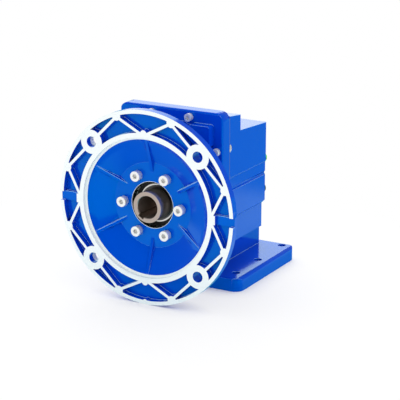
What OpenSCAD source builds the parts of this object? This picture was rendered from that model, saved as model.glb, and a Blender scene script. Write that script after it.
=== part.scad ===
// Foot-mounted in-line helical gear reducer with a B5 motor flange and a hollow input shaft.
// Two helical stages on three shafts: input and output share one axis, the intermediate shaft
// lies straight above them. Origin: centre of the motor flange's face, +Y runs along the shafts
// from the motor to the output, +Z is up.

/* [Motor flange] */
// Outside diameter of the motor flange
flange_d = 250; // [230:1:300]
// Diameter of the pilot recess that centres the motor
pilot_d = 180; // [150:1:186]
// Depth of the pilot recess
pilot_depth = 5; // [4:0.5:8]
// Diameter of the circle of motor bolts
bolt_circle_d = 215; // [205:1:222]
// Diameter of each motor bolt hole
bolt_hole_d = 14; // [9:0.5:16]
// Radius of the round boss at each motor bolt hole
bolt_boss_r = 15.5; // [12:0.5:16]
// Width of the machined face of the outer rim
rim_face_w = 5; // [4:0.5:7]
// Thickness of the outer rim
rim_t = 10; // [8:0.5:14]
// Width of the machined ring round the pilot recess
pilot_ring_w = 6; // [5:0.5:8]
// Depth of the cast pockets between the lattice ribs
pocket_depth = 8; // [5:0.5:9]
// Thickness of the floor behind the pockets
pocket_floor_t = 4.5; // [3.5:0.5:8]
// Width of a lattice rib
lattice_w = 3.6; // [3:0.1:5]
// Width of the two level bars and of their notches in the rim
bar_w = 11.6; // [8:0.2:14]
// How far the two bars lie under the flange face
bar_depth = 4.3; // [2:0.1:6]
// Width of a rib in the dish at its crest
dish_rib_w = 3.6; // [3:0.1:6]
// Depth of the hub's front plate under the flange face
hub_front = 19.8; // [16:0.2:24]
// Radius of the hub's flat front plate
hub_plate_r = 55; // [50:0.5:60]
// Radius of the opening round the input shaft
hub_opening_r = 30; // [29:0.5:32]
// Diameter of the circle of hub screws
hub_screw_circle_d = 82.6; // [80:0.2:86]

/* [Shafts and gears] */
// Distance from the input and output axis up to the intermediate axis
centre_distance = 57; // [56:0.5:69]
// Normal module of the first stage
module_1 = 2; // [1.5:0.25:2]
// Normal module of the second stage
module_2 = 2.5; // [2:0.25:2.5]
// Teeth on the input pinion
input_teeth = 17; // [13:1:17]
// Teeth on the wheel that the input pinion drives
wheel_teeth = 38; // [34:1:38]
// Teeth on the intermediate pinion
pinion_teeth = 13; // [12:1:13]
// Teeth on the output gear
output_teeth = 31; // [27:1:31]
// Face width of the first stage
face_1 = 14; // [11:0.5:16]
// Face width of the second stage
face_2 = 24; // [20:0.5:26]
// Metal taken off each tooth flank for backlash
flank_relief = 0.13; // [0.12:0.01:0.2]
// Outside diameter of the hollow input shaft
input_d = 40; // [36:1:42]
// Diameter of the bore for the motor shaft
input_bore_d = 28; // [19:1:29]
// Width of the keyway in the input bore
input_key_w = 8; // [5:1:8]
// Diameter of the output shaft
output_d = 35; // [32:1:38]
// Length of the output shaft past the case
output_len = 70; // [50:1:84]
// Width of the keyway in the output shaft
output_key_w = 10; // [8:1:12]
// Depth of the hollow input shaft's end under the flange face
input_front = 7.2; // [4:0.2:12]

/* [Case and cover] */
// Width of the case over its upper side walls
case_w = 149; // [143:1:179]
// Depth of the case below the shaft axis
case_bottom = 61; // [60:0.5:71]
// Depth of the cover's front face under the flange face
cover_front = 66; // [64:0.5:70]
// Thickness of the cover plate with its gasket
cover_t = 18; // [16:0.5:22]
// Height of the cover plate over the top of the case
cover_lip = 6; // [4:0.5:8]
// Corner radius of the cover plate
cover_corner_r = 11; // [8:0.5:14]
// Depth of the pad's front face under the flange face
pad_front = 54; // [50:0.5:58]
// Length of the case behind the cover
case_len = 100; // [98:1:120]
// Length of the tall front part of the case
tall_len = 28; // [26:0.5:30]
// Thickness of the case walls
wall = 6; // [5:0.5:7]
// Thickness of the paper gasket under the cover
gasket_t = 0.5; // [0.3:0.1:1]
// Radius of the casting's rear corners
case_corner_r = 1.5; // [1:0.5:6]

/* [Foot bracket] */
// Height of the flange's lowest point over the mounting face
floor_gap = 0; // [0:0.5:20]
// Thickness of the foot plate
foot_t = 18; // [14:0.5:22]
// Width of the foot plate
foot_w = 168; // [160:1:200]
// Where the foot plate begins behind the flange face
foot_front = 94; // [88:1:100]
// Length of the foot plate
foot_len = 163; // [150:1:185]
// Drop from the case's underside to the top of the bracket's tail
bracket_tail_drop = 20; // [14:1:24]
// Reach of the bracket's tail behind the case
bracket_tail_len = 62; // [40:1:64]
// Width of the bracket's box under the case
bracket_web_w = 69; // [66:1:84]
// Diameter of each foot bolt hole
foot_hole_d = 11; // [9:0.5:13]
// Distance between the two rows of foot bolts
foot_hole_span = 134; // [130:1:160]

/* [Hidden] */
$fn = 64;

paint = "royalblue";
bright_steel = "gainsboro";
dark_steel = "dimgray";
rubber = "black";

over = 1;             // how far a cut runs past the face it opens
fit = 0.1;            // room between a seat and what sits in it
ball_gap = 0.12;      // room round each ball in its race and its cage

// Bearings: bore radius, outer radius, width
brg_40 = [input_d/2, input_d/2 + 14, 15];
brg_25 = [12.5, 26, 15];
brg_17 = [8.5, 20, 12];
brg_30 = [15, 31, 16];
brg_35 = [output_d/2, output_d/2 + 18.5, 17];

// Screws: shank radius, head radius, head height, key flat-to-flat
m8 = [4, 6.5, 8, 6];
m6 = [3, 5, 6, 5];

// Stations along the shafts
case_front = cover_front + cover_t;
case_rear = case_front + case_len;
tall_end = case_front + tall_len;
hub_back = 31.5;                                  // back of the flange hub, met by the cover's nose
front_brg_y = hub_back + 0.1;
input_seal_y = front_brg_y + brg_40[2] + 1;
seal_t = 8;
input_seal_bore_end = input_seal_y + seal_t + 1;
rear_brg_y = case_front - 16;
input_big_end = rear_brg_y - 2;                   // end of the 40 mm part of the hollow shaft
wheel_y = case_front + 4;
pinion_y = wheel_y + face_1 + 7;
output_gear_y = pinion_y + 1;
spacer_t = 3;
out_front_brg_y = output_gear_y + face_2 - 2 + spacer_t;
collar_y = out_front_brg_y + brg_30[2];
collar_t = 4;
out_rear_brg_y = collar_y + collar_t;
circlip_y = out_rear_brg_y + brg_35[2];
circlip_t = 2.5;
output_seal_t = 7;
mid_front_brg_y = case_front - 14;
mid_rear_brg_y = pinion_y + face_2 + 4;
output_front = wheel_y + face_1 + 2.2;            // inner end of the output shaft

// Gear geometry
helix_1 = acos(module_1*(input_teeth + wheel_teeth)/(2*centre_distance));
helix_2 = acos(module_2*(pinion_teeth + output_teeth)/(2*centre_distance));
shift_1 = 0.1;
shift_2 = 0.3;
function pitch_r(z, mn, helix) = z*mn/(2*cos(helix));
function tip_r(z, mn, helix, shift) = pitch_r(z, mn, helix) + mn*(1 + shift);
wheel_tip = tip_r(wheel_teeth, module_1, helix_1, -shift_1);
pinion_tip = tip_r(pinion_teeth, module_2, helix_2, shift_2);

// Case outline, seen along the shafts
case_half = case_w/2;
belt_half = case_half - 1.4;                      // below the moulded line on the side wall
skirt_half = case_half - 6;                       // the narrower lower part of the case
belt_z = 29;
groove_z = 13;
groove_r = 3;
groove_depth = 1.2;
skirt_z = -24.5;
top_room = 4.8;                                   // free height over the wheel
case_top = centre_distance + wheel_tip + top_room + wall;
tall_drop = 3.3;                                  // draft of the tall top
low_top = centre_distance + pinion_tip + wall + 2.6;
low_drop = 4.6;                                   // draft of the low top
cover_top = case_top + cover_lip;
pad_half = case_half - 13;
pad_top = cover_top - 15;
pad_bottom = -case_bottom + 21;
pad_corner_r = 3;

// Foot bracket heights
axis_height = flange_d/2 + floor_gap;
foot_top = -axis_height + foot_t;
bracket_front = case_front + 18;
bracket_tail_top = -case_bottom - bracket_tail_drop;
bracket_rear = case_rear + bracket_tail_len;
bracket_wall = 8;
foot_rear = foot_front + foot_len;
foot_hole_x = foot_hole_span/2;
foot_hole_y = [foot_front + 23, foot_front + 84, foot_rear - 8];
foot_corner_r = 13;
foot_edge_r = 5;
foot_end_edge_r = 1.5;                            // at the plate's front and rear

// Screw places
hub_screw_r = hub_screw_circle_d/2;
edge_inset = 8.5;
cover_screw_xz = [
    [27.5, cover_top - edge_inset],
    [case_half - edge_inset, 66],
    [case_half - edge_inset, 8],
    [skirt_half - edge_inset - 0.5, -case_bottom + edge_inset],
    [24, -case_bottom + edge_inset]
];
cover_screw_len = 18 + 10;
spot_face_r = 9.5;
bracket_screw_x = 18;
bracket_screw_y = [case_front + 58, case_rear - 19];
bracket_ceiling_t = 10;                           // metal over the bracket's hollow
dowel_xz = [case_half - edge_inset, 38];

// ---------- placing helpers ----------
module along_y(y) { translate([0, y, 0]) rotate([-90, 0, 0]) children(); }
module rod(y0, y1, r) { along_y(y0) cylinder(h = y1 - y0, r = r); }
module rod_at(x, z, y0, y1, r) { translate([x, 0, z]) rod(y0, y1, r); }
module taper(y0, y1, r0, r1) { along_y(y0) cylinder(h = y1 - y0, r1 = r0, r2 = r1); }
module turned() { rotate([-90, 0, 0]) rotate_extrude($fn = 96) children(); }
module slab(y0, y1) { translate([0, y1, 0]) rotate([90, 0, 0]) linear_extrude(y1 - y0) children(); }
module side_profile(half) {
    rotate([90, 0, 90]) translate([0, 0, -half]) linear_extrude(2*half) children();
}
module plan_profile(z0, z1) { translate([0, 0, z0]) linear_extrude(z1 - z0) children(); }
module both_sides() { children(); mirror([1, 0, 0]) children(); }
module at_mid() { translate([0, 0, centre_distance]) children(); }

module rounded(x0, x1, y0, y1, r) {
    translate([x0 + r, y0]) square([x1 - x0 - 2*r, y1 - y0]);
    translate([x0, y0 + r]) square([x1 - x0, y1 - y0 - 2*r]);
    for (x = [x0 + r, x1 - r])
        for (y = [y0 + r, y1 - r])
            translate([x, y]) circle(r = r);
}

// A straight bar of width w between two points of a plane
module bar2d(p, q, w) {
    d = q - p;
    translate(p) rotate(atan2(d[1], d[0])) translate([0, -w/2]) square([norm(d), w]);
}
function polar(r, a) = [r*cos(a), r*sin(a)];

// Socket head cap screw: the seat is at the origin and the shank runs along +Y
module cap_screw(size, len) {
    difference() {
        union() {
            rod(-size[2], 0, size[1]);
            rod(-0.1, len, size[0] - fit);
        }
        translate([0, -size[2] - over, 0])
            rotate([-90, 0, 0])
            cylinder(h = size[2]/2 + over, r = size[3]/sqrt(3), $fn = 6);
    }
}

// ---------- motor flange ----------
flange_r = flange_d/2;
pilot_r = pilot_d/2;
pocket_in = pilot_r + pilot_ring_w;
pocket_out = flange_r - rim_face_w;
ring_back = pocket_depth + pocket_floor_t;
outer_node_angle = 19;
dish_start_r = pilot_r - 3.5;
dish_start_y = pilot_depth + 0.6;
nose_r = 50;
register_len = 4.5;
rib_end_r = hub_screw_r + 1;

module flange_lattice() {
    node_out_r = pocket_out - 1;
    node_in_r = pilot_r + 2.7;
    lattice_node_r = 6;
    hole_r = bolt_circle_d/2;
    for (q = [0:90:270]) {
        for (s = [-1, 1]) {
            bar2d(polar(node_in_r, q), polar(node_out_r, q + s*outer_node_angle), lattice_w);
            bar2d(polar(node_out_r, q + s*outer_node_angle), polar(hole_r, q + s*45), lattice_w);
            translate(polar(node_out_r + 1, q + s*outer_node_angle)) circle(r = lattice_node_r);
        }
        translate(polar(pocket_in - 0.5, q)) circle(r = 4.5);
        translate(polar(hole_r, q + 45)) circle(r = bolt_boss_r);
    }
    translate(polar(pocket_out + 2, 270)) circle(r = 3.5);
    bar2d([-flange_r, 0], [-pocket_in, 0], bar_w);
    bar2d([pocket_in, 0], [flange_r, 0], bar_w);
}

module flange_body() {
    turned() polygon([
        [hub_opening_r, hub_front], [hub_plate_r, hub_front], [dish_start_r, dish_start_y],
        [pilot_r - 3, pilot_depth], [pilot_r, pilot_depth], [pilot_r, 0], [flange_r, 0],
        [flange_r, rim_t], [pocket_out - 2, rim_t], [pocket_out - 4, ring_back],
        [pilot_r + 2, ring_back], [hub_plate_r + 3, hub_back - 2.5],
        [hub_plate_r, hub_back + register_len], [nose_r + fit, hub_back + register_len],
        [nose_r + fit, hub_back], [hub_opening_r, hub_back]
    ]);
    for (a = [30:60:330]) rotate([0, -a, 0]) dish_rib();
    for (a = [45:90:315]) {
        rotate([0, -a, 0]) translate([bolt_circle_d/2, 0, 0]) rod(ring_back - over, ring_back + 3, 14);
        rotate([0, -a, 0]) back_rib();
    }
}

// A drafted rib whose crest runs straight from the pilot edge to the hub screws
module dish_rib() {
    rise = hub_front - dish_start_y;
    reach = dish_start_r - rib_end_r;
    foot_grow = 2.4;
    depth = 7;
    intersection() {
        translate([dish_start_r, dish_start_y, 0])
            rotate([0, 0, 180 - atan2(rise, reach)])
            rotate([0, 90, 0])
            linear_extrude(norm([reach, rise]))
            polygon([
                [-dish_rib_w/2, 0], [dish_rib_w/2, 0],
                [dish_rib_w/2 + foot_grow/2, -depth], [-dish_rib_w/2 - foot_grow/2, -depth]
            ]);
        rod(0, hub_back, pilot_r - 3.2);
    }
}

module back_rib() {
    translate([0, 0, -3])
        linear_extrude(6)
        polygon([
            [hub_plate_r - 1, hub_back - 4], [hub_plate_r - 1, hub_back + register_len - 0.5],
            [bolt_circle_d/2 - 4, ring_back + 2.5], [bolt_circle_d/2 - 4, ring_back - 2],
            [pilot_r - 2, ring_back - 1]
        ]);
}

module motor_flange() color(paint) difference() {
    flange_body();
    slab(-over, pocket_depth)
        difference() {
            circle(r = pocket_out);
            circle(r = pocket_in);
            flange_lattice();
        }
    both_sides()
        translate([pocket_in + 4, -over, -bar_w/2])
        cube([flange_r - pocket_in, bar_depth + over, bar_w]);
    for (a = [45:90:315])
        rotate([0, -a, 0])
        translate([bolt_circle_d/2, 0, 0])
        rod(-over, ring_back + 4, bolt_hole_d/2);
    for (a = [0:60:300])
        rotate([0, -a, 0])
        translate([hub_screw_r, 0, 0])
        rod(hub_front - over, hub_back + over, m8[0] + 0.4);
}

module flange_screws() color(bright_steel)
    for (a = [0:60:300])
        rotate([0, -a, 0])
        translate([hub_screw_r, hub_front, 0])
        cap_screw(m8, 25);

// ---------- cover between flange and case ----------
module cover_outer() {
    edge_r = 2.5;
    intersection() {
        slab(cover_front, case_front - gasket_t) cover_outline();
        side_profile(case_half + over)
            rounded(cover_front, case_front + 20, -case_bottom - 20, cover_top, edge_r);
        plan_profile(-case_bottom - over, cover_top + over)
            rounded(-case_half, case_half, cover_front, case_front + 20, edge_r);
    }
}

module cover_outline() {
    rounded(-case_half, case_half, skirt_z, cover_top, cover_corner_r);
    rounded(-skirt_half, skirt_half, -case_bottom, 20, 8);
}

module cover_pad() {
    difference() {
        slab(pad_front, cover_front + over) rounded(-pad_half, pad_half, pad_bottom, pad_top, pad_corner_r);
        both_sides()
            for (p = cover_screw_xz)
                rod_at(p[0], p[1], pad_front - over, cover_front, spot_face_r);
    }
}

module cover_ribs() {
    for (a = [20, 70, 110, 160, 225, 270, 315])
        rotate([0, -a, 0])
        translate([0, 0, -3])
        linear_extrude(6)
        polygon([
            [nose_r - 3, hub_back + register_len + 2], [nose_r + 1, hub_back + register_len + 2],
            [nose_r + 10, pad_front + over], [nose_r - 3, pad_front + over]
        ]);
}

module input_cover() color(paint) difference() {
    union() {
        difference() {
            union() {
                cover_outer();
                cover_pad();
                taper(hub_back, hub_back + register_len, nose_r - 0.6, nose_r);
                taper(hub_back + register_len, pad_front + over, nose_r, nose_r + 4);
                cover_ribs();
            }
            slab(pad_front + 7, case_front + over)
                rounded(-pad_half + 9, pad_half - 9, pad_bottom + 9, pad_top - 7, 7);
        }
        rod(pad_front, case_front - gasket_t, brg_25[1] + 7);
        at_mid() rod(pad_front + 2, case_front, brg_17[1] + 6);
        translate([-9, pad_front + 2, 10]) cube([18, case_front - pad_front - 6, centre_distance - 20]);
        rod(pad_front, pad_front + 12, brg_40[1] + 7);
    }
    rod(hub_back - over, front_brg_y + brg_40[2], brg_40[1] + fit);
    rod(hub_back, input_seal_bore_end, brg_40[1] - 3 + fit);
    rod(hub_back, rear_brg_y, brg_40[0] + 3);
    rod(rear_brg_y, case_front + over, brg_25[1] + fit);
    at_mid() rod(mid_front_brg_y, case_front + over, brg_17[1] + fit);
    at_mid() rod(mid_front_brg_y - 2, case_front, brg_17[1] - 4);
    both_sides()
        for (p = cover_screw_xz)
            rod_at(p[0], p[1], cover_front - over, case_front + over, m6[0] + 0.4);
    both_sides() rod_at(dowel_xz[0], dowel_xz[1], case_front - 9, case_front + over, 4);
    for (a = [0:60:300])
        rotate([0, -a, 0])
        translate([hub_screw_r, 0, 0])
        rod(hub_back - over, hub_back + 17, m8[0]);
}

module cover_gasket() color("darkkhaki")
    slab(case_front - gasket_t, case_front)
    difference() {
        union() {
            intersection() {
                cover_outline();
                translate([-case_half, -case_bottom]) square([case_w, case_bottom + case_top]);
            }
            for (s = [-1, 1])
                translate([s*cover_screw_xz[0][0], cover_screw_xz[0][1]]) circle(r = 7);
        }
        rounded(-case_half + 17, case_half - 17, -case_bottom + 17, case_top - wall - 4, 8);
        for (s = [-1, 1]) {
            for (p = cover_screw_xz)
                translate([s*p[0], p[1]]) circle(r = m6[0] + 0.5);
            translate([s*dowel_xz[0], dowel_xz[1]]) circle(r = 4.3);
        }
    }

module cover_screws() color(bright_steel)
    both_sides()
    for (p = cover_screw_xz)
        translate([p[0], cover_front, p[1]]) cap_screw(m6, cover_screw_len);

module dowel_pins() color(bright_steel)
    both_sides()
    rod_at(dowel_xz[0], dowel_xz[1], case_front - 8.5, case_front + 8.5, 4 - fit);

// ---------- gear case ----------
module case_side(inset) {
    t = inset;
    polygon([
        [case_front - (t > 0 ? over : 0), -case_bottom + t],
        [case_front - (t > 0 ? over : 0), case_top - t],
        [tall_end - t, case_top - tall_drop - t],
        [tall_end - t, low_top - t],
        [case_rear - (t > 0 ? t + 2 : 0), low_top - low_drop - t],
        [case_rear - (t > 0 ? t + 2 : 0), -case_bottom + t]
    ]);
}

// Half of the case's outline seen along the shafts: a moulded line, a belt and a narrower skirt
function case_half_view(t) = [
    [case_half - t, case_top], [case_half - t, belt_z + 0.4], [belt_half - t, belt_z - 1.4],
    [belt_half - t, skirt_z + t/3], [skirt_half - t, skirt_z - belt_half + skirt_half + t/3],
    [skirt_half - t, -case_bottom]
];

module case_front_view(inset) {
    right = case_half_view(inset);
    last = len(right) - 1;
    polygon(concat(right, [for (i = [last:-1:0]) [-right[i][0], right[i][1]]]));
}

module case_outer() {
    intersection() {
        slab(case_front, case_rear) case_front_view(0);
        side_profile(case_half + over) case_side(0);
        plan_profile(-case_bottom - over, case_top + over)
            rounded(-case_half, case_half, case_front - 20, case_rear, case_corner_r);
    }
}

module case_cavity() {
    intersection() {
        slab(case_front - over, case_rear) case_front_view(wall);
        side_profile(case_half + over) case_side(wall);
    }
}

hub_r = brg_35[1] + 7;
mid_boss_r = brg_17[1] + 6;
plug_boss_r = 12;
filler_xz = [case_half - 12.5, 30];
level_xz = [belt_half - 8.5, -10];

module case_inside() {
    rod(out_front_brg_y - 1, case_rear - over, hub_r);
    at_mid() rod(mid_rear_brg_y - 1, mid_rear_brg_y + brg_17[2] + 5, mid_boss_r);
    translate([-9, mid_rear_brg_y + 4, 30])
        cube([18, case_rear - mid_rear_brg_y - 6, low_top - wall - 28]);
    for (a = [0, 180])
        rotate([0, a, 0])
        translate([hub_r - 4, out_front_brg_y + 4, -3])
        cube([case_half - hub_r, case_rear - out_front_brg_y - 6, 6]);
    translate([-3, out_front_brg_y + 4, -case_bottom + 1])
        cube([6, case_rear - out_front_brg_y - 6, case_bottom - hub_r + 4]);
    both_sides() {
        for (p = cover_screw_xz)
            rod_at(p[0], p[1], case_front, case_front + 16, 8);
        rod_at(dowel_xz[0], dowel_xz[1], case_front, case_front + 12, 7.5);
        for (y = bracket_screw_y)
            translate([bracket_screw_x, y, -case_bottom]) cylinder(h = 18, r = 8.5);
        rod_at(filler_xz[0], filler_xz[1], case_rear - 14, case_rear - over, plug_boss_r - 1);
        rod_at(level_xz[0], level_xz[1], case_rear - 14, case_rear - over, plug_boss_r - 4);
    }
}

module gear_case() color(paint) difference() {
    union() {
        difference() {
            case_outer();
            case_cavity();
        }
        intersection() {
            case_outer();
            case_inside();
        }
        both_sides()
            translate([cover_screw_xz[0][0], 0, cover_screw_xz[0][1]])
            taper(case_front, case_front + 12, 7, 5);
    }
    both_sides() {
        rod_at(belt_half + groove_r - groove_depth, groove_z, case_front - over, case_rear + over, groove_r);
        for (p = cover_screw_xz)
            rod_at(p[0], p[1], case_front - over, case_front + 10.5, m6[0]);
        rod_at(dowel_xz[0], dowel_xz[1], case_front - over, case_front + 9, 4);
        for (y = bracket_screw_y)
            translate([bracket_screw_x, y, -case_bottom - over]) cylinder(h = 15 + over, r = m8[0]);
        translate([case_half + 1.5, case_front, 67.5])
            rotate([0, 90, 0])
            translate([0, 0, -5])
            cylinder(h = 10, r = 5);
    }
    rod(out_front_brg_y - 3, collar_y, brg_30[1] + fit);
    rod(collar_y - over, out_rear_brg_y + over, brg_30[1] - 2.5);
    rod(out_rear_brg_y, case_rear + over, brg_35[1] + fit);
    rod(circlip_y, circlip_y + circlip_t + 0.1, brg_35[1] + 2);
    at_mid() rod(mid_rear_brg_y - 3, mid_rear_brg_y + brg_17[2], brg_17[1] + fit);
    at_mid() rod(mid_rear_brg_y, mid_rear_brg_y + brg_17[2] + 2, brg_17[1] - 4);
    rod_at(filler_xz[0], filler_xz[1], case_rear - 16, case_rear + over, 6);
    rod_at(level_xz[0], level_xz[1], case_rear - 16, case_rear + over, 5);
}

// ---------- foot bracket ----------
// Flat plate whose top edges are rounded, widely along both sides
module foot_plate() {
    below = -axis_height - 20;
    intersection() {
        plan_profile(-axis_height, foot_top)
            rounded(-foot_w/2, foot_w/2, foot_front, foot_rear, foot_corner_r);
        side_profile(foot_w) rounded(foot_front, foot_rear, below, foot_top, foot_end_edge_r);
        slab(0, foot_rear + over) rounded(-foot_w/2, foot_w/2, below, foot_top, foot_edge_r);
    }
}

// One level of the bracket's box, tall under the case and low behind it
module bracket_level(top, rear, inset, corner_r) {
    half = bracket_web_w/2 - inset;
    plan_profile(-axis_height + 2 - 2*inset, top)
        rounded(-half, half, bracket_front + inset, rear - inset, corner_r);
}

module foot_bracket() color(paint) difference() {
    union() {
        bracket_level(-case_bottom, case_rear - 2, 0, 3);
        bracket_level(bracket_tail_top, bracket_rear, 0, 3);
        foot_plate();
    }
    bracket_level(-case_bottom - bracket_ceiling_t, case_rear - 2, bracket_wall, 5);
    bracket_level(bracket_tail_top - bracket_wall, bracket_rear, bracket_wall, 5);
    both_sides() {
        for (y = foot_hole_y)
            translate([foot_hole_x, y, -axis_height - over])
            cylinder(h = foot_t + 2*over, r = foot_hole_d/2);
        for (y = bracket_screw_y)
            translate([bracket_screw_x, y, -case_bottom - bracket_ceiling_t - over])
            cylinder(h = bracket_ceiling_t + 2*over, r = m8[0] + 0.5);
    }
}

module bracket_screws() color(bright_steel)
    both_sides()
    for (y = bracket_screw_y)
        translate([bracket_screw_x, y, -case_bottom - bracket_ceiling_t])
        rotate([90, 0, 0])
        cap_screw(m8, bracket_ceiling_t + 12);

// ---------- plugs ----------
module filler_plug_base() color(rubber)
    translate([filler_xz[0], 0, filler_xz[1]]) {
        along_y(case_rear) cylinder(h = 6, r = 10, $fn = 6);
        rod(case_rear - 12, case_rear + over, 6 - fit);
    }

module filler_plug_cap() color("limegreen")
    translate([filler_xz[0], 0, filler_xz[1]])
    difference() {
        union() {
            rod(case_rear + 6, case_rear + 11, 8);
            taper(case_rear + 11, case_rear + 13, 8, 6.5);
        }
        for (a = [0:30:330])
            rotate([0, a, 0]) translate([8.6, 0, 0]) rod(case_rear + 5, case_rear + 14, 1.2);
    }

module level_plug() color(rubber)
    translate([level_xz[0], 0, level_xz[1]])
    difference() {
        union() {
            rod(case_rear, case_rear + 5, 7.5);
            rod(case_rear - 12, case_rear + over, 5 - fit);
        }
        along_y(case_rear + 2) cylinder(h = 4, r = 3, $fn = 6);
    }

// ---------- seals and circlips ----------
// A lip seal: a U of rubber on a steel case, its lips close to the shaft
module lip_seal(y, t, shaft_r, outer_r) {
    turned() polygon([
        [shaft_r + 0.2, y + 2.2], [shaft_r + 1.6, y + 0.4], [shaft_r + 3, y], [outer_r, y],
        [outer_r, y + t], [outer_r - 1.5, y + t], [outer_r - 1.5, y + 2.5], [shaft_r + 5, y + 2.5],
        [shaft_r + 2.6, y + t - 1], [shaft_r + 0.2, y + t - 2.8], [shaft_r + 1.2, y + 4]
    ]);
}

module input_seal() color(rubber) lip_seal(input_seal_y, seal_t, brg_40[0], brg_40[1] - 3);

module output_seal() color(rubber)
    mirror([0, 1, 0])
    lip_seal(-case_rear, output_seal_t, output_d/2, brg_35[1]);

module output_bearing_circlip() color(dark_steel) difference() {
    rod(circlip_y + 0.1, circlip_y + circlip_t, brg_35[1] + 1.8);
    rod(circlip_y - over, circlip_y + circlip_t + over, brg_35[1] - 3);
    translate([-4, circlip_y - over, -brg_35[1] - 4]) cube([8, circlip_t + 2*over, 10]);
}

input_clip_t = 1.75;
module input_circlip() color(bright_steel) difference() {
    rod(front_brg_y - input_clip_t, front_brg_y - 0.1, input_d/2 + 2.6);
    rod(front_brg_y - 3, front_brg_y + over, input_d/2 - 1.1);
    rotate([0, 40, 0]) translate([-3, front_brg_y - 3, -input_d/2 - 5]) cube([6, 5, 8]);
}

// ---------- bearings ----------
function race_h(b) = b[1] - b[0];
function race_pitch(b) = (b[1] + b[0])/2;
function ball_r(b) = 0.29*race_h(b);
function inner_land(b) = b[0] + 0.32*race_h(b);
function outer_land(b) = b[1] - 0.30*race_h(b);
function ball_count(b) = floor(2*PI*race_pitch(b)/(3.2*ball_r(b)));

module race_groove(b) {
    rotate([-90, 0, 0])
        rotate_extrude($fn = 96)
        translate([race_pitch(b), b[2]/2])
        circle(r = ball_r(b) + ball_gap);
}

module bearing_outer(b) color(bright_steel) difference() {
    turned() polygon([
        [outer_land(b), 0], [b[1] - 0.8, 0], [b[1], 0.8], [b[1], b[2] - 0.8],
        [b[1] - 0.8, b[2]], [outer_land(b), b[2]]
    ]);
    race_groove(b);
}

module bearing_inner(b) color(bright_steel) difference() {
    turned() polygon([
        [b[0] + 0.9, 0], [inner_land(b), 0], [inner_land(b), b[2]], [b[0] + 0.9, b[2]],
        [b[0], b[2] - 0.9], [b[0], 0.9]
    ]);
    race_groove(b);
}

module bearing_balls(b) color("silver")
    for (i = [0:ball_count(b) - 1])
        rotate([0, i*360/ball_count(b), 0])
        translate([race_pitch(b), b[2]/2, 0])
        sphere(r = ball_r(b));

module bearing_cage(b) color("goldenrod") difference() {
    cage_half = min(b[2]/2 - 1.9, ball_r(b) + 1.1);
    turned() polygon([
        [race_pitch(b) - 0.11*race_h(b), b[2]/2 - cage_half],
        [race_pitch(b) + 0.11*race_h(b), b[2]/2 - cage_half],
        [race_pitch(b) + 0.11*race_h(b), b[2]/2 + cage_half],
        [race_pitch(b) - 0.11*race_h(b), b[2]/2 + cage_half]
    ]);
    for (i = [0:ball_count(b) - 1])
        rotate([0, i*360/ball_count(b), 0])
        translate([b[0], b[2]/2, 0])
        rotate([0, 90, 0])
        cylinder(h = race_h(b), r = ball_r(b) + ball_gap);
}

module input_bearing_shields() color(rubber)
    translate([0, front_brg_y, 0])
    for (y = [0.5, brg_40[2] - 1.5])
        turned() polygon([
            [inner_land(brg_40) + 0.25, y], [outer_land(brg_40) - 0.05, y],
            [outer_land(brg_40) - 0.05, y + 1], [inner_land(brg_40) + 0.25, y + 1]
        ]);

// Where each bearing stands
module on_axis(y) { translate([0, y, 0]) children(); }
module on_mid(y) { translate([0, y, centre_distance]) children(); }
module input_front_bearing_outer() on_axis(front_brg_y) bearing_outer(brg_40);
module input_front_bearing_inner() on_axis(front_brg_y) bearing_inner(brg_40);
module input_front_bearing_balls() on_axis(front_brg_y) bearing_balls(brg_40);
module input_front_bearing_cage() on_axis(front_brg_y) bearing_cage(brg_40);
module input_rear_bearing_outer() on_axis(rear_brg_y) bearing_outer(brg_25);
module input_rear_bearing_inner() on_axis(rear_brg_y) bearing_inner(brg_25);
module input_rear_bearing_balls() on_axis(rear_brg_y) bearing_balls(brg_25);
module input_rear_bearing_cage() on_axis(rear_brg_y) bearing_cage(brg_25);
module intermediate_front_bearing_outer() on_mid(mid_front_brg_y) bearing_outer(brg_17);
module intermediate_front_bearing_inner() on_mid(mid_front_brg_y) bearing_inner(brg_17);
module intermediate_front_bearing_balls() on_mid(mid_front_brg_y) bearing_balls(brg_17);
module intermediate_front_bearing_cage() on_mid(mid_front_brg_y) bearing_cage(brg_17);
module intermediate_rear_bearing_outer() on_mid(mid_rear_brg_y) bearing_outer(brg_17);
module intermediate_rear_bearing_inner() on_mid(mid_rear_brg_y) bearing_inner(brg_17);
module intermediate_rear_bearing_balls() on_mid(mid_rear_brg_y) bearing_balls(brg_17);
module intermediate_rear_bearing_cage() on_mid(mid_rear_brg_y) bearing_cage(brg_17);
module output_front_bearing_outer() on_axis(out_front_brg_y) bearing_outer(brg_30);
module output_front_bearing_inner() on_axis(out_front_brg_y) bearing_inner(brg_30);
module output_front_bearing_balls() on_axis(out_front_brg_y) bearing_balls(brg_30);
module output_front_bearing_cage() on_axis(out_front_brg_y) bearing_cage(brg_30);
module output_rear_bearing_outer() on_axis(out_rear_brg_y) bearing_outer(brg_35);
module output_rear_bearing_inner() on_axis(out_rear_brg_y) bearing_inner(brg_35);
module output_rear_bearing_balls() on_axis(out_rear_brg_y) bearing_balls(brg_35);
module output_rear_bearing_cage() on_axis(out_rear_brg_y) bearing_cage(brg_35);

// ---------- gear teeth ----------
// Turns that set a tooth of a gear straight up or straight down
tooth_up = -90;
tooth_down = 90;

function involute(a) = tan(a)*180/PI - a;

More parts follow.
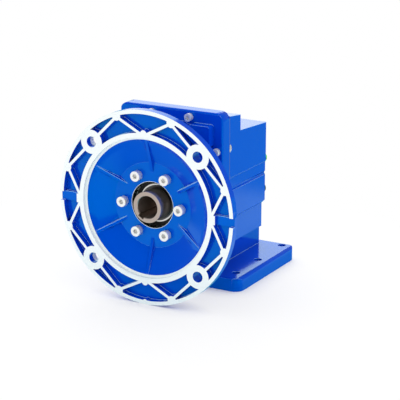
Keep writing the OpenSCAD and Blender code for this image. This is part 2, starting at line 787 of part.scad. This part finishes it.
// Involute helical gear along +Y, its middle plane in phase with its base outline
module helical_gear(z, mn, helix, width, shift, bore_r, hand, turn, slices, steps) {
    mt = mn/cos(helix);
    at = atan(tan(20)/cos(helix));
    rp = z*mt/2;
    rb = rp*cos(at);
    tip = rp + mn*(1 + shift);
    root = rp - mn*(1.25 - shift);
    start = max(rb, root);
    thick = 90/z + (shift*mn*tan(20)/cos(helix) - flank_relief)/rp*180/PI;
    half_at = function(r) thick + involute(at) - involute(acos(min(1, rb/r)));
    working = [for (i = [0:steps]) let (r = start + (tip - start)*i/steps) [r, half_at(r)]];
    flank = concat(root < rb - 0.05 ? [[root, half_at(start)]] : [], working);
    last = len(flank) - 1;
    tooth = concat([for (f = flank) [f[0], -f[1]]], [for (i = [last:-1:0]) flank[i]]);
    outline = [for (k = [0:z - 1]) for (t = tooth) polar(t[0], t[1] + 360*k/z)];
    twist = hand*width*tan(helix)/rp*180/PI;
    rotate([-90, 0, 0])
        rotate(turn - twist/2)
        linear_extrude(height = width, twist = -twist, slices = slices)
        difference() {
            polygon(outline);
            circle(r = bore_r, $fn = 40);
        }
}

// ---------- input shaft line ----------
key_deep_r = input_bore_d/2 + 3.3;
pinion_seat_r = 9;
input_bore_end = input_big_end - 1;
input_key_turn = 124;

module input_shaft() color(dark_steel) difference() {
    union() {
        rod(input_front, input_big_end, input_d/2 - fit);
        rod(input_big_end - over, rear_brg_y - 0.1, brg_25[0] + 3);
        rod(rear_brg_y - over, wheel_y - 0.1, brg_25[0] - fit);
        rod(wheel_y - over, wheel_end, pinion_seat_r - fit);
    }
    rod(input_front - over, input_bore_end, input_bore_d/2);
    taper(input_front - 0.1, input_front + 1, input_bore_d/2 + 1, input_bore_d/2);
    rotate([0, input_key_turn, 0])
        translate([0, input_front - over, -input_key_w/2])
        cube([key_deep_r, input_bore_end - input_front - 3, input_key_w]);
    difference() {
        rod(front_brg_y - input_clip_t - 0.05, front_brg_y - 0.05, input_d/2 + over);
        rod(front_brg_y - 3, front_brg_y, input_d/2 - 1.2);
    }
}

module input_pinion() color(bright_steel)
    translate([0, wheel_y, 0])
    helical_gear(input_teeth, module_1, helix_1, face_1, shift_1, pinion_seat_r + 0.1, -1,
        tooth_up, 4, 3);

// ---------- intermediate shaft line ----------
wheel_seat_r = 12;
pinion_shaft_r = 10;
mid_collar_r = 16;
wheel_end = wheel_y + face_1;
key_6 = 6;

module intermediate_shaft() color(dark_steel) at_mid() difference() {
    union() {
        rod(mid_front_brg_y, wheel_y, brg_17[0] - fit);
        rod(mid_front_brg_y + brg_17[2] + 0.1, wheel_y - 0.5, brg_17[0] + 2.2);
        rod(wheel_y - over, wheel_end, wheel_seat_r - fit);
        rod(wheel_end + 0.1, pinion_y - 0.1, mid_collar_r);
        rod(wheel_end - over, pinion_y + face_2, pinion_shaft_r - fit);
        rod(pinion_y + face_2 - over, mid_rear_brg_y - 0.1, brg_17[0] + 1.2);
        rod(mid_rear_brg_y - over, mid_rear_brg_y + brg_17[2], brg_17[0] - fit);
    }
    translate([-key_6/2, wheel_y + 1, wheel_seat_r - 3.5]) cube([key_6, face_1 - 2, 5]);
    translate([-key_6/2, pinion_y + 2, pinion_shaft_r - 3.5]) cube([key_6, face_2 - 4, 5]);
}

module key_at(r, y, len, w, h) {
    translate([-w/2 + fit, y + 0.1, r - h/2]) cube([w - 2*fit, len - 0.2, h]);
}

module wheel_key() color(bright_steel)
    at_mid() key_at(wheel_seat_r - 0.9, wheel_y + 1, face_1 - 2, key_6, 5);
module pinion_key() color(bright_steel)
    at_mid() key_at(pinion_shaft_r - 0.9, pinion_y + 2, face_2 - 4, key_6, 5);

module keyed(r, w, h) {
    difference() {
        children();
        translate([-w/2, -over, 0]) cube([w, 60, r + h]);
    }
}

module intermediate_wheel() color(bright_steel) at_mid() translate([0, wheel_y, 0])
    keyed(wheel_seat_r, key_6, 1.9)
    difference() {
        helical_gear(wheel_teeth, module_1, helix_1, face_1, -shift_1, wheel_seat_r + 0.1, 1,
            tooth_down + 180/wheel_teeth, 2, 3);
        for (y = [-over, face_1 - 3.5])
            along_y(y) difference() {
                cylinder(h = 3.5 + over, r = 33);
                translate([0, 0, -over]) cylinder(h = 10, r = 19);
            }
    }

module intermediate_pinion() color(bright_steel) at_mid() translate([0, pinion_y, 0])
    keyed(pinion_shaft_r, key_6, 1.9)
    helical_gear(pinion_teeth, module_2, helix_2, face_2, shift_2, pinion_shaft_r + 0.1, 1,
        tooth_down, 5, 3);

// ---------- output shaft line ----------
gear_seat_r = brg_30[0];
output_gear_w = face_2 - 2;
output_end = case_rear + output_len;
key_8 = 8;
relief_y = case_rear + 1.5;
relief_w = 1.5;
output_key_turn = 22.5;

module output_shaft() color(dark_steel) difference() {
    union() {
        rod(output_front, collar_y + over, gear_seat_r - fit);
        rod(collar_y + 0.1, collar_y + collar_t - 0.1, output_d/2 + 3.5);
        rod(out_rear_brg_y - over, out_rear_brg_y + brg_35[2], output_d/2 - fit);
        rod(out_rear_brg_y + brg_35[2] - over, relief_y, output_d/2);
        rod(relief_y - over, relief_y + relief_w + over, output_d/2 - 0.6);
        rod(relief_y + relief_w, output_end - 1.5, output_d/2);
        taper(output_end - 1.5, output_end, output_d/2, output_d/2 - 1.5);
    }
    translate([-key_8/2, output_gear_y + 2, gear_seat_r - 4]) cube([key_8, output_gear_w - 4, 6]);
    rotate([0, output_key_turn, 0]) translate([0, 0, output_d/2 - 5]) linear_extrude(6) {
        translate([-output_key_w/2, case_rear + 8 + output_key_w/2])
            square([output_key_w, output_len - 14 - output_key_w]);
        for (y = [case_rear + 8 + output_key_w/2, output_end - 6 - output_key_w/2])
            translate([0, y]) circle(r = output_key_w/2);
    }
    rod(output_end - 26, output_end + over, 5.1);
    taper(output_end - 2, output_end + 0.5, 5.1, 7.6);
}

module output_gear_key() color(bright_steel)
    key_at(gear_seat_r - 0.9, output_gear_y + 2, output_gear_w - 4, key_8, 6);

module output_gear() color(bright_steel) translate([0, output_gear_y, 0]) keyed(gear_seat_r, key_8, 2.4)
    difference() {
        helical_gear(output_teeth, module_2, helix_2, output_gear_w, -shift_2, gear_seat_r + 0.1, -1,
            tooth_up + 180/output_teeth, 4, 3);
        along_y(-over) difference() {
            cylinder(h = 5 + over, r = 32);
            translate([0, 0, -over]) cylinder(h = 10, r = 22);
        }
    }

module output_spacer() color(dark_steel) difference() {
    rod(output_gear_y + output_gear_w + 0.1, out_front_brg_y - 0.1, gear_seat_r + 4);
    rod(output_gear_y + output_gear_w - over, out_front_brg_y + over, gear_seat_r);
}

motor_flange();
flange_screws();
input_cover();
cover_gasket();
cover_screws();
dowel_pins();
gear_case();
foot_bracket();
bracket_screws();
filler_plug_base();
filler_plug_cap();
level_plug();
input_seal();
output_seal();
output_bearing_circlip();
input_bearing_shields();
input_shaft();
input_circlip();
input_pinion();
intermediate_shaft();
wheel_key();
intermediate_wheel();
pinion_key();
intermediate_pinion();
output_shaft();
output_gear_key();
output_gear();
output_spacer();
input_front_bearing_outer();
input_front_bearing_inner();
input_front_bearing_balls();
input_front_bearing_cage();
input_rear_bearing_outer();
input_rear_bearing_inner();
input_rear_bearing_balls();
input_rear_bearing_cage();
intermediate_front_bearing_outer();
intermediate_front_bearing_inner();
intermediate_front_bearing_balls();
intermediate_front_bearing_cage();
intermediate_rear_bearing_outer();
intermediate_rear_bearing_inner();
intermediate_rear_bearing_balls();
intermediate_rear_bearing_cage();
output_front_bearing_outer();
output_front_bearing_inner();
output_front_bearing_balls();
output_front_bearing_cage();
output_rear_bearing_outer();
output_rear_bearing_inner();
output_rear_bearing_balls();
output_rear_bearing_cage();
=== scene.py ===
# %% [markdown]
# # A foot-mounted helical gear reducer
# The object is a geared speed reducer: a round flange takes the motor, a cover and a stepped
# cast case hold two pairs of helical gears, and a bracket carries it on six bolts. Its shape
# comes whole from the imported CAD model, so this script is about what the surfaces look like:
# glossy blue paint on castings, faces turned bare on a lathe, bright screws and black rubber.

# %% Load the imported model
import math

import bpy
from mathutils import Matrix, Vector


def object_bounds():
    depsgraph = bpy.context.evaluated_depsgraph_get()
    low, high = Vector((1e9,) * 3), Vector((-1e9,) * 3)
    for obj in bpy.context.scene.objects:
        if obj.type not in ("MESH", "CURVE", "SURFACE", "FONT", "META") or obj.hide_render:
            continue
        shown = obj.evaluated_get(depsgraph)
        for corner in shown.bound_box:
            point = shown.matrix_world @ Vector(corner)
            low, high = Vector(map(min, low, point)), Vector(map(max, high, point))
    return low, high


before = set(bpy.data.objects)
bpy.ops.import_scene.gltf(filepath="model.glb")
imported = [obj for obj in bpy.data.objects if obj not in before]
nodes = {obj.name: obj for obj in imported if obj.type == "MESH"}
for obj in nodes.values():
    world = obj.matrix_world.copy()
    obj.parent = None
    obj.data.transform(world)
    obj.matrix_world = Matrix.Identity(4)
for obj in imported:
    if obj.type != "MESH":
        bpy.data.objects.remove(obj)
cad_low, cad_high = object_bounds()
MM = 0.001
print("nodes:", len(nodes), "box in mm:", [round(v / MM, 1) for v in cad_high - cad_low])

# %% [markdown]
# ## Camera
# The view looks down on the flange from the front right, with a long lens, so that the circles
# stay nearly true. A target and two angles say this more plainly than a rotation does: the
# camera stands back from the target along one direction and looks down it.

# %% Camera
AZIMUTH = math.radians(29.56)
ELEVATION = math.radians(16.42)
SENSOR_WIDTH = 36.0
LENS = 138.2
CAMERA_DISTANCE = 2.0061
AIM = Vector((7.16, 127.45, -20.09)) * MM


def direction(azimuth, elevation):
    """Unit vector from the object towards a place round it; azimuth 0 is in front."""
    flat = math.cos(elevation)
    return Vector((math.sin(azimuth) * flat, -math.cos(azimuth) * flat, math.sin(elevation)))


scene = bpy.context.scene
camera_data = bpy.data.cameras.new("camera")
camera_data.sensor_width = SENSOR_WIDTH
camera_data.lens = LENS
camera = bpy.data.objects.new("camera", camera_data)
scene.collection.objects.link(camera)
towards_camera = direction(AZIMUTH, ELEVATION)
camera.location = AIM + towards_camera * CAMERA_DISTANCE
camera.rotation_euler = (-towards_camera).to_track_quat("-Z", "Y").to_euler()
scene.camera = camera
scene.view_settings.view_transform = "Standard"
print("camera at", [round(v, 3) for v in camera.location])

# %% [markdown]
# ## Writing shaders as sums
# A finish is easier to read as an expression, such as `rough + grain * 0.1`, than as a web of
# nodes. `Wire` wraps one output socket and turns each operator into a Math node. `Finish` holds
# a material's node tree and adds any other node in one call: its type, its settings, and the
# values or wires of its sockets.


# %% Shader helpers
class Wire:
    def __init__(self, finish, socket):
        self.finish = finish
        self.socket = socket

    def math(self, operation, *others):
        return self.finish.add("ShaderNodeMath", {"operation": operation}, [self, *others])

    def __add__(self, other):
        return self.math("ADD", other)

    def __sub__(self, other):
        return self.math("SUBTRACT", other)

    def __rsub__(self, other):
        return self.finish.add("ShaderNodeMath", {"operation": "SUBTRACT"}, [other, self])

    def __mul__(self, other):
        return self.math("MULTIPLY", other)

    def __truediv__(self, other):
        return self.math("DIVIDE", other)

    def __gt__(self, other):
        return self.math("GREATER_THAN", other)

    def __lt__(self, other):
        return self.math("LESS_THAN", other)

    __radd__ = __add__
    __rmul__ = __mul__

    def clamped(self):
        return self.math("MINIMUM", 1.0).math("MAXIMUM", 0.0)


class Finish:
    def __init__(self, name, tree=None):
        if tree is None:
            self.material = bpy.data.materials.new(name)
            self.material.use_nodes = True
            tree = self.material.node_tree
        tree.nodes.clear()
        self.tree = tree

    def add(self, kind, settings=None, sockets=None, out=0):
        """Add a node, set it and its sockets, and hand back a wire from one of its outputs."""
        node = self.tree.nodes.new(kind)
        for key, value in (settings or {}).items():
            setattr(node, key, value)
        pairs = sockets.items() if isinstance(sockets, dict) else enumerate(sockets or [])
        for key, value in pairs:
            if isinstance(value, Wire):
                self.tree.links.new(value.socket, node.inputs[key])
            elif value is not None:
                node.inputs[key].default_value = value
        return Wire(self, node.outputs[out]) if len(node.outputs) else node

    def output(self, shader, kind="ShaderNodeOutputMaterial"):
        self.add(kind, sockets={"Surface": shader})

    def mix(self, share, first, second):
        """Two colours mixed by a share from 0 to 1; the colour sockets are 6 and 7."""
        settings = {"data_type": "RGBA", "blend_type": "MIX"}
        return self.add("ShaderNodeMix", settings, {0: share, 6: first, 7: second}, out=2)

    def place(self):
        """The shaded point in the object's own frame, in metres."""
        return self.add("ShaderNodeTexCoord", out=3)

    def axes(self, vector):
        """X, Y and Z of a vector."""
        split = self.add("ShaderNodeSeparateXYZ", sockets=[vector])
        return [Wire(self, socket) for socket in split.socket.node.outputs]

    def seen_rays(self):
        """Two wires: 1 on a ray from the camera, and 1 on a ray that is mirrored or looks through."""
        path = self.add("ShaderNodeLightPath")
        rays = {socket.name: Wire(self, socket) for socket in path.socket.node.outputs}
        mirrored = rays["Is Glossy Ray"].math("MAXIMUM", rays["Is Transmission Ray"])
        return rays["Is Camera Ray"], mirrored

    def noise(self, where, per_metre, detail=2):
        return self.add("ShaderNodeTexNoise", sockets={
            "Vector": where, "Scale": per_metre, "Detail": detail})

    def bump(self, height, depth, strength, normal=None):
        return self.add("ShaderNodeBump", sockets={
            "Strength": strength, "Distance": depth, "Height": height, "Normal": normal})


def colour(red, green, blue):
    """A colour given as it looks on a screen, from 0 to 255, in the linear light that nodes use."""
    def linear(value):
        value /= 255
        return value / 12.92 if value <= 0.04045 else ((value + 0.055) / 1.055) ** 2.4
    return (linear(red), linear(green), linear(blue), 1.0)


# %% [markdown]
# ## Table
# Such parts are shown on a sheet of white paper. Near the object the paper is matt and holds a
# soft shadow, deepest where the foot and the flange touch it. Further out more and more of its
# white is its own light, so that the ground stays white to the edge of the picture.
#
# Glossy paint shows what it mirrors, and a white room all round would turn it pale. A studio
# can lay dim cards beside and behind such an object, and here only mirrored rays see them. For
# those rays the paper stays white well in front of the flange, and a dim blue-green card covers
# the rest, with a paler strip on the right that gives the casting's side a lighter tone.

# %% Floor
WHITE = (1.0, 1.0, 1.0, 1.0)
DIM_CARD = (0.1, 0.5, 0.6, 1.0)
PALE_CARD = (0.6, 0.9, 1.0, 1.0)
PAPER_WHITE = (0.95, 0.95, 0.95, 1.0)
SHEET = 6.0             # half the width of the sheet, in metres
FLOOR_GAP = 0.1 * MM
OWN_LIGHT_SEEN = 0.66   # share of the near paper's white that is its own light, seen straight
OWN_LIGHT_MIRRORED = 0.2
NEAR = 0.2              # how far from the middle that share starts to grow, in metres
FAR = 0.5               # and where it reaches 1
CONTACT = 0.03          # how far a contact shadow reaches
CARD_FRONT = -0.2       # Y of the dim cards' front edge
CARD_FADE = 0.08        # width of the blend at each edge of a card
STRIP_LEFT = 0.1        # X of the pale strip's left edge
STRIP_BACK = 0.56       # Y of its rear edge

floor_z = cad_low.z - FLOOR_GAP
corners = [(x * SHEET, y * SHEET, floor_z) for x, y in ((-1, -1), (1, -1), (1, 1), (-1, 1))]
floor_mesh = bpy.data.meshes.new("floor")
floor_mesh.from_pydata(corners, [], [(0, 1, 2, 3)])
floor = bpy.data.objects.new("floor", floor_mesh)
scene.collection.objects.link(floor)

paper = Finish("white_paper")
camera_ray, mirrored = paper.seen_rays()
x, y, z = paper.axes(paper.place())
away = ((x * x + y * y).math("SQRT") - NEAR) / (FAR - NEAR)
near_light = camera_ray * (OWN_LIGHT_SEEN - OWN_LIGHT_MIRRORED) + OWN_LIGHT_MIRRORED
own_light = away.clamped() * (1.0 - near_light) + near_light
card = ((y - CARD_FRONT) / CARD_FADE).clamped() * mirrored
strip = ((x - STRIP_LEFT) / CARD_FADE).clamped() * ((STRIP_BACK - y) / CARD_FADE).clamped()
open_sky = paper.add("ShaderNodeAmbientOcclusion", {"samples": 8}, {"Distance": CONTACT}, out=1)
share = camera_ray.math("MAXIMUM", mirrored) * own_light * open_sky * open_sky
share = share.math("MAXIMUM", card)
matt = paper.add("ShaderNodeBsdfDiffuse", sockets={"Color": PAPER_WHITE})
glow_colour = paper.mix(card, WHITE, paper.mix(strip, DIM_CARD, PALE_CARD))
glow = paper.add("ShaderNodeEmission", sockets={"Color": glow_colour, "Strength": 1.0})
paper.output(paper.add("ShaderNodeMixShader", sockets=[share, matt, glow]))
floor.data.materials.append(paper.material)
print("floor at z in mm:", round(floor_z / MM, 1))

# %% [markdown]
# ## Sky and lamp
# An even white sky lights matt surfaces from all sides. It is seen as plain white, and it is dim
# where anything mirrors it, for the same reason as the cards. One large lamp stands behind on
# the left, where faces that look up mirror it towards the camera and turn nearly white.

# %% World
SKY_LIGHT = 1.12
SKY_MIRRORED = 0.2

world = bpy.data.worlds.new("studio")
world.use_nodes = True
scene.world = world
sky = Finish("studio", world.node_tree)
camera_ray, mirrored = sky.seen_rays()
strength = camera_ray + mirrored * SKY_MIRRORED + (1.0 - camera_ray - mirrored) * SKY_LIGHT
sky.output(sky.add("ShaderNodeBackground", sockets={"Color": WHITE, "Strength": strength}),
           "ShaderNodeOutputWorld")
print("sky light:", SKY_LIGHT, "mirrored:", SKY_MIRRORED)

# %% Lamp
LAMP_AZIMUTH = math.radians(222)
LAMP_ELEVATION = math.radians(26)
LAMP_DISTANCE = 1.8
LAMP_WIDTH = 1.5
LAMP_POWER = 10.5

lamp_data = bpy.data.lights.new("behind", "AREA")
lamp_data.shape = "SQUARE"
lamp_data.size = LAMP_WIDTH
lamp_data.energy = LAMP_POWER
lamp = bpy.data.objects.new("behind", lamp_data)
towards_lamp = direction(LAMP_AZIMUTH, LAMP_ELEVATION)
lamp.location = AIM + towards_lamp * LAMP_DISTANCE
lamp.rotation_euler = (-towards_lamp).to_track_quat("-Z", "Y").to_euler()
scene.collection.objects.link(lamp)
print("lamp:", lamp.name)

# %% [markdown]
# ## Blue paint on castings
# The flange, cover, case and bracket are castings sprayed with glossy blue enamel. It is a thick
# coat over a sandy skin, so its grain is faint, and it goes on unevenly, so broad patches differ
# a little in depth of colour. Edges that look up catch thin lines of light. The mesh's own
# bevels are too narrow to show them all, so a bevelled normal finds these edges and a pale
# painted highlight stands in for that light there. The enamel's mirror image is tinted: what
# little red it mirrors would turn the blue purple.

# %% Enamel
PAINT_IOR = 1.7
PAINT_TINT = (0.0, 1.0, 1.0, 1.0)
PAINT_ROUGH = 0.1
ROUGH_BY_GRAIN = 0.05
PAINT_DEPTH = 0.05 * MM
PAINT_RELIEF = 0.15
CAST_GRAIN = 420        # features of each noise in a metre
PAINT_RIPPLE = 900
PAINT_PATCHES = 14
EDGE_LINE = 1.2 * MM
EDGE_START = 0.1        # how far an edge must turn up before its painted highlight starts
EDGE_GAIN = 3.5
PAINT_BLUE = colour(0, 71, 210)
PAINT_DEEP = colour(0, 61, 200)
# Painted highlight: a pale colour on edges that look up, standing in for the light they catch
PAINTED_EDGE_HIGHLIGHT = colour(165, 210, 250)


def paint_coat(finish, where):
    """The colour, with painted highlights on edges that look up, and the roughness and bump of the
    paint.
    """
    cast_grain = finish.noise(where, CAST_GRAIN, 3)
    ripple = finish.noise(where, PAINT_RIPPLE, 1)
    blue = finish.mix(finish.noise(where, PAINT_PATCHES), PAINT_DEEP, PAINT_BLUE)
    rounded = finish.add("ShaderNodeBevel", {"samples": 8}, {"Radius": EDGE_LINE})
    facing = finish.add("ShaderNodeNewGeometry", out=1)
    turned_up = finish.axes(rounded)[2] - finish.axes(facing)[2]
    edge_highlight_share = ((turned_up - EDGE_START) * EDGE_GAIN).clamped()
    # Painted highlight: edges that look up take a pale colour in place of the light they catch
    blue = finish.mix(edge_highlight_share, blue, PAINTED_EDGE_HIGHLIGHT)
    bump = finish.bump(cast_grain * 0.6 + ripple * 0.4, PAINT_DEPTH, PAINT_RELIEF)
    return blue, PAINT_ROUGH + cast_grain * ROUGH_BY_GRAIN, bump


def enamel(finish, surface):
    """Put a surface under the glossy, tinted shell of the paint."""
    shader = finish.add("ShaderNodeBsdfPrincipled", None, surface)
    shader.socket.node.inputs["IOR"].default_value = PAINT_IOR
    shader.socket.node.inputs["Specular Tint"].default_value = PAINT_TINT
    finish.output(shader)
    return finish.material


# %% [markdown]
# ## Faces left bare, and painted light and shade
# Where a face has to be flat or true it is turned on a lathe after painting and stays bare: the
# flange's front, the wall and floor of the recess that takes the motor's spigot, and the front
# of the hub's opening. The pry notch in the case's front edge is painted near-white: bare metal,
# with a painted glint where the notch mirrors white. The far end of the two bolt holes on -X is
# painted bright, as painted light for the white seen through these holes. Inside the hub the
# casting is painted near-black, as painted shade deep in the opening.
#
# Each of these could be a material of its own on its own faces, but the imported mesh has no such
# groups. Masks worked out from each point's place and the way it faces need none, and the line
# between paint and metal is as sharp as the tool leaves it.

# %% Turned and cut faces, with painted light and shade
PILOT_R = 90 * MM
PILOT_DEPTH = 5 * MM
SEAT_R = 87 * MM                           # inner edge of the turned seat in the recess
HUB_OPENING_R = 30 * MM
HUB_FRONT = 19.8 * MM
BOLT_PLACE = 107.5 * MM / math.sqrt(2)     # X and Z of a bolt hole on its circle
BOLT_HOLE_R = 7 * MM
SEE_THROUGH_DEPTH = 8 * MM                      # depth past which a hole's wall is painted bright, as painted light
NOTCH_Y = 84 * MM
NOTCH_Z = 67.5 * MM
NOTCH_R = 5 * MM
NOTCH_MOUTH = 74.3 * MM
REACH = 0.4 * MM                           # how far a mask reaches past its surface
FRONT_NORMAL = -0.9                        # Y of a normal that counts as facing front
TURNING_MARKS = 4200                       # radians of tool mark in a metre of radius
TURNING_WANDER = 60
TURNING_DEPTH = 0.02 * MM
TURNING_RELIEF = 0.5
BARE_ROUGH = 0.36
ROUGH_BY_GROOVE = 0.1
BARE_METALLIC = 0.15
# Bright metal colour, also used as painted light in the bolt holes on -X and in the pry notch
BARE_METAL_AND_PAINTED_LIGHT = colour(250, 251, 252)
# Painted shade: the near-black colour inside the hub's opening
PAINTED_HUB_SHADE = colour(26, 22, 22)


def within(first, second, radius):
    """1 where two distances from a line lie within a radius of it."""
    return first * first + second * second < radius ** 2


def case_enamel():
    finish = Finish("blue_casting_paint")
    where = finish.place()
    x, y, z = finish.axes(where)
    blue, rough, bump = paint_coat(finish, where)
    # Painted glint: the pry notch is coloured near-white, as bare metal and for the white it mirrors
    notch = within(y - NOTCH_Y, z - NOTCH_Z, NOTCH_R + REACH) * (x.math("ABSOLUTE") < NOTCH_MOUTH)
    return enamel(finish, {
        "Base Color": finish.mix(notch, blue, BARE_METAL_AND_PAINTED_LIGHT), "Roughness": rough, "Normal": bump})


def flange_enamel():
    finish = Finish("flange_paint_and_turned_face")
    where = finish.place()
    x, y, z = finish.axes(where)
    blue, paint_rough, paint_bump = paint_coat(finish, where)
    radius = (x * x + z * z).math("SQRT")
    facing = finish.add("ShaderNodeTexCoord", out=1)
    front_face = (y < REACH) * (finish.axes(facing)[1] < FRONT_NORMAL)
    recess = (y < PILOT_DEPTH + REACH) * (radius > SEAT_R) * (radius < PILOT_R + REACH)
    inside = radius < HUB_OPENING_R + REACH
    opening = inside * (y < HUB_FRONT + REACH * 2)
    across = x.math("ABSOLUTE") - BOLT_PLACE
    up = z.math("ABSOLUTE") - BOLT_PLACE
    # Painted light: the far wall of the two holes on -X is coloured bright for the white seen through
    # them
    painted_see_through = within(across, up, BOLT_HOLE_R + REACH) * (y > SEE_THROUGH_DEPTH) * (x < 0)
    bare_and_painted_light = (front_face + recess + opening + painted_see_through).math("MINIMUM", 1.0)

    turning = (radius * TURNING_MARKS + finish.noise(where, TURNING_WANDER, 1) * 2.0).math("SINE")
    grooves = turning * 0.5 + 0.5
    # Painted shade: everything inside the hub's opening is coloured near-black
    hub_painted_shade = finish.mix(inside, blue, PAINTED_HUB_SHADE)
    return enamel(finish, {
        "Base Color": finish.mix(bare_and_painted_light, hub_painted_shade, BARE_METAL_AND_PAINTED_LIGHT),
        "Metallic": bare_and_painted_light * BARE_METALLIC,
        "Roughness": paint_rough * (1 - bare_and_painted_light) + (BARE_ROUGH + grooves * ROUGH_BY_GROOVE) * bare_and_painted_light,
        "Normal": finish.bump(grooves * bare_and_painted_light, TURNING_DEPTH, TURNING_RELIEF, paint_bump)})


flange_paint = flange_enamel()
case_paint = case_enamel()
print("castings wear:", flange_paint.name, "and", case_paint.name)

# %% [markdown]
# ## Metals, rubber, paper and plastic
# The smaller parts differ in colour, in gloss and in what the tool left on them. One function
# makes them all from those few facts.


# %% Simple finishes
ROUGHNESS_SPREAD = 0.06
SPECKLE_RELIEF = 0.4


def plain_finish(name, base, rough, metal=0.0, grain=300, grain_depth=0.02, vary=0.06):
    """One colour with a fine speckle; grain is in grains a metre, and its depth in mm."""
    finish = Finish(name)
    speckle = finish.noise(finish.place(), grain, 3)
    dull = tuple(channel * (1 - 2 * vary) for channel in base[:3]) + (1.0,)
    finish.output(finish.add("ShaderNodeBsdfPrincipled", None, {
        "Base Color": finish.mix(speckle, dull, base),
        "Metallic": metal,
        "Roughness": rough + (speckle - 0.5) * ROUGHNESS_SPREAD,
        "Normal": finish.bump(speckle, grain_depth * MM, SPECKLE_RELIEF)}))
    return finish.material


def shaft_finish(name, base, rough, metal):
    """Steel ground so fine that its grain hardly shows."""
    return plain_finish(name, base, rough, metal, grain_depth=0.003, vary=0.03)


finishes = {
    "zinc": plain_finish("bright_zinc", colour(250, 250, 248), 0.25, 0.45),
    "shaft": shaft_finish("ground_shaft_steel", colour(190, 176, 166), 0.3, 0.9),
    "turned": shaft_finish("turned_shaft_steel", colour(186, 184, 182), 0.34, 0.4),
    "ground": plain_finish("ground_steel", colour(205, 204, 200), 0.28, 1.0),
    "spring": plain_finish("blackened_spring_steel", colour(92, 90, 90), 0.38, 1.0),
    "gear": plain_finish("hobbed_gear_steel", colour(150, 146, 140), 0.34, 1.0),
    "bearing": plain_finish("polished_bearing_steel", colour(214, 213, 210), 0.16, 1.0),
    "brass": plain_finish("pressed_brass", colour(196, 158, 78), 0.3, 1.0),
    "rubber": plain_finish("black_rubber", colour(22, 22, 24), 0.5, grain=800, grain_depth=0.05),
    "black_plastic": plain_finish("black_moulded_plastic", colour(16, 17, 20), 0.34, grain=700),
    "green_plastic": plain_finish("green_moulded_plastic", colour(60, 215, 40), 0.3, grain=700),
    "paper": plain_finish("oiled_gasket_paper", colour(120, 112, 84), 0.7, grain=1500, grain_depth=0.1),
}
print("finishes:", len(finishes) + 2)

# %% [markdown]
# ## Which piece wears which finish
# The nodes' names say what they are, so the choice is a list of word and finish, tried in turn.

# %% Assign the finishes
CHOICES = [
    ("motor_flange", flange_paint),
    ("input_cover", case_paint),
    ("gear_case", case_paint),
    ("foot_bracket", case_paint),
    ("gasket", finishes["paper"]),
    ("plug_cap", finishes["green_plastic"]),
    ("plug", finishes["black_plastic"]),
    ("seal", finishes["rubber"]),
    ("shields", finishes["rubber"]),
    ("cage", finishes["brass"]),
    ("circlip", finishes["spring"]),
    ("bearing", finishes["bearing"]),
    ("screws", finishes["zinc"]),
    ("key", finishes["ground"]),
    ("dowel", finishes["ground"]),
    ("output_shaft", finishes["turned"]),
    ("shaft", finishes["shaft"]),
    ("spacer", finishes["shaft"]),
    ("gear", finishes["gear"]),
    ("pinion", finishes["gear"]),
    ("wheel", finishes["gear"]),
]
for name, thing in nodes.items():
    finish = next(material for word, material in CHOICES if word in name)
    thing.data.materials.clear()
    thing.data.materials.append(finish)
print("finished nodes:", len(nodes))

# %% [markdown]
# ## Broken edges
# No real edge is a knife edge: a casting has a small radius and a machined part is deburred.
# A bevel modifier rounds every edge that is sharper than a limit, and it catches thin lines of
# light along ribs and corners, to which the enamel adds painted highlights. The imported mesh
# has its faces apart, so a weld joins them first. The mesh itself isn't changed.

# %% Bevels
EDGES_MM = {
    "motor_flange": 0.7, "input_cover": 1.6, "gear_case": 0.8, "foot_bracket": 0.9,
    "flange_screws": 0.5, "cover_screws": 0.5, "bracket_screws": 0.5,
    "input_shaft": 0.8, "output_shaft": 0.5,
    "filler_plug_base": 0.5, "filler_plug_cap": 0.5, "level_plug": 0.4,
}
WELD_GAP = 0.002 * MM
SHARP_ANGLE = math.radians(32)

for name, width in EDGES_MM.items():
    thing = nodes[name]
    weld = thing.modifiers.new("join_faces", "WELD")
    weld.merge_threshold = WELD_GAP
    bevel = thing.modifiers.new("broken_edges", "BEVEL")
    bevel.width = width * MM
    bevel.segments = 2
    bevel.limit_method = "ANGLE"
    bevel.angle_limit = SHARP_ANGLE
    bevel.harden_normals = True
print("bevelled nodes:", len(EDGES_MM))
